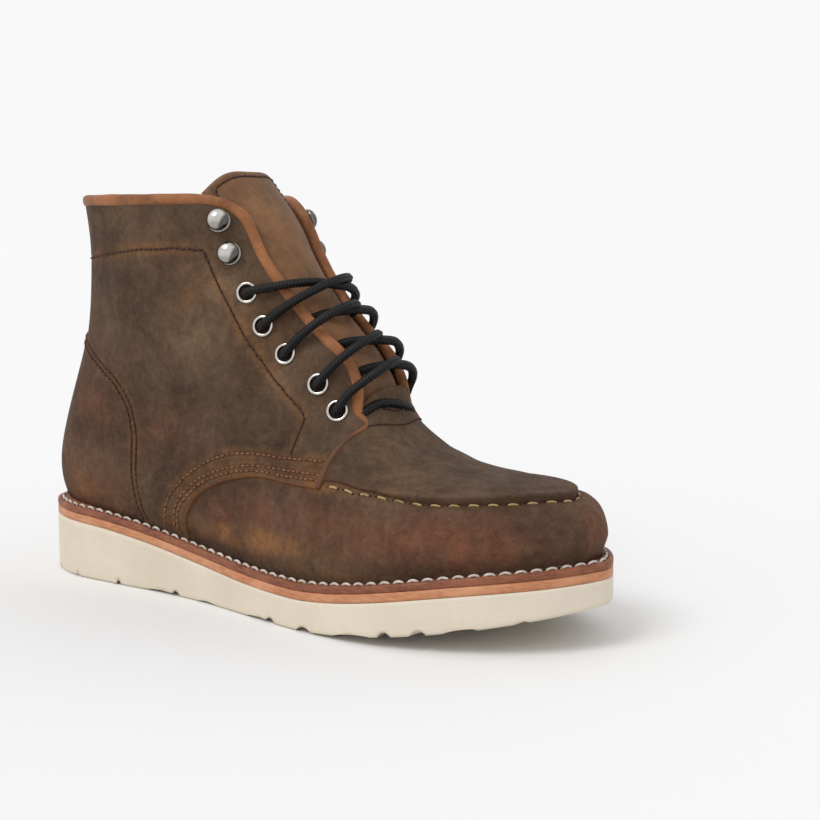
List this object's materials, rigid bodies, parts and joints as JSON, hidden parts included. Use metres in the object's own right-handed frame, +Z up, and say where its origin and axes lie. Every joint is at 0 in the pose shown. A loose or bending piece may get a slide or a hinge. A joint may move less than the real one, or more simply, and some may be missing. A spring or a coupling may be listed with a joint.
{
  "type": "leather boot",
  "caption": "Six-inch lace-up leather work boot with a raised moc toe, speed hooks and a cream wedge sole.",
  "frame": {"origin": "under the middle of the sole, on the floor", "axes": "+X from heel to toe, +Y to the inner side of the foot, +Z up"},
  "size_m": [0.302, 0.1064, 0.1928],
  "materials": {
    "outsole": "matte cream crepe rubber",
    "midsole": "natural veg-tan edge, waxed",
    "welt": "red-brown edge, satin",
    "insole": "smooth, natural",
    "upper": "oiled nubuck, matte with soft wear",
    "tongue": "oiled nubuck, tan brown",
    "binding": "rolled edge, satin tan",
    "nickel": "polished nickel",
    "lace": "braided black cord"
  },
  "bodies": {
    "root": {"outsole": "outsole", "midsole": "midsole", "welt": "welt", "insole": "insole", "upper": "upper", "tongue": "tongue", "collar_binding": "binding", "eyelet_outer_1": "nickel", "eyelet_outer_2": "nickel", "eyelet_outer_3": "nickel", "eyelet_outer_4": "nickel", "eyelet_outer_5": "nickel", "hook_outer_1": "nickel", "hook_outer_2": "nickel", "eyelet_inner_1": "nickel", "eyelet_inner_2": "nickel", "eyelet_inner_3": "nickel", "eyelet_inner_4": "nickel", "eyelet_inner_5": "nickel", "hook_inner_1": "nickel", "hook_inner_2": "nickel", "lace_bar": "lace", "lace_cross_1": "lace", "lace_cross_2": "lace", "lace_cross_3": "lace", "lace_cross_4": "lace"}
  },
  "joints": []
}
